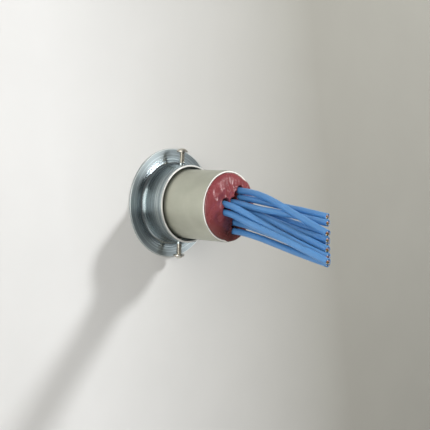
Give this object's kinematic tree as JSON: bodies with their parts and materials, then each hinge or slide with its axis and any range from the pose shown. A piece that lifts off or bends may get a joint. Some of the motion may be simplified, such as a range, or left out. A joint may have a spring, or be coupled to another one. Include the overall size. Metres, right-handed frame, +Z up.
{
  "type": "firestop cable sleeve",
  "caption": "Steel tube through a wall, clamped by a flanged collar on each face, with fire putty packed round the data cables in both ends.",
  "frame": {"origin": "on the sleeve's axis, in the plane of the wall face behind the front escutcheon", "axes": "+Z up; the sleeve runs along Y, with its front end, where the cables leave, towards -Y"},
  "size_m": [0.0888, 0.3969, 0.0898],
  "materials": {
    "galvanised_steel": "satin galvanised",
    "zinc_plated_steel": "bright zinc plate with circular forming marks",
    "screw_steel": "bright nickel plate",
    "fire_putty": "oily hand-pressed putty",
    "cable_jacket": "extruded soft plastic"
  },
  "bodies": {
    "root": {"sleeve_tube": "galvanised_steel", "front_escutcheon": "zinc_plated_steel", "rear_escutcheon": "zinc_plated_steel", "front_upper_set_screw": "screw_steel", "front_lower_set_screw": "screw_steel", "rear_upper_set_screw": "screw_steel", "rear_lower_set_screw": "screw_steel", "front_putty": "fire_putty", "rear_putty": "fire_putty", "data_cable_01": "cable_jacket", "data_cable_02": "cable_jacket", "data_cable_03": "cable_jacket", "data_cable_04": "cable_jacket", "data_cable_05": "cable_jacket", "data_cable_06": "cable_jacket", "data_cable_07": "cable_jacket", "data_cable_08": "cable_jacket", "data_cable_09": "cable_jacket", "data_cable_10": "cable_jacket", "data_cable_11": "cable_jacket", "data_cable_12": "cable_jacket", "data_cable_13": "cable_jacket"}
  },
  "joints": []
}
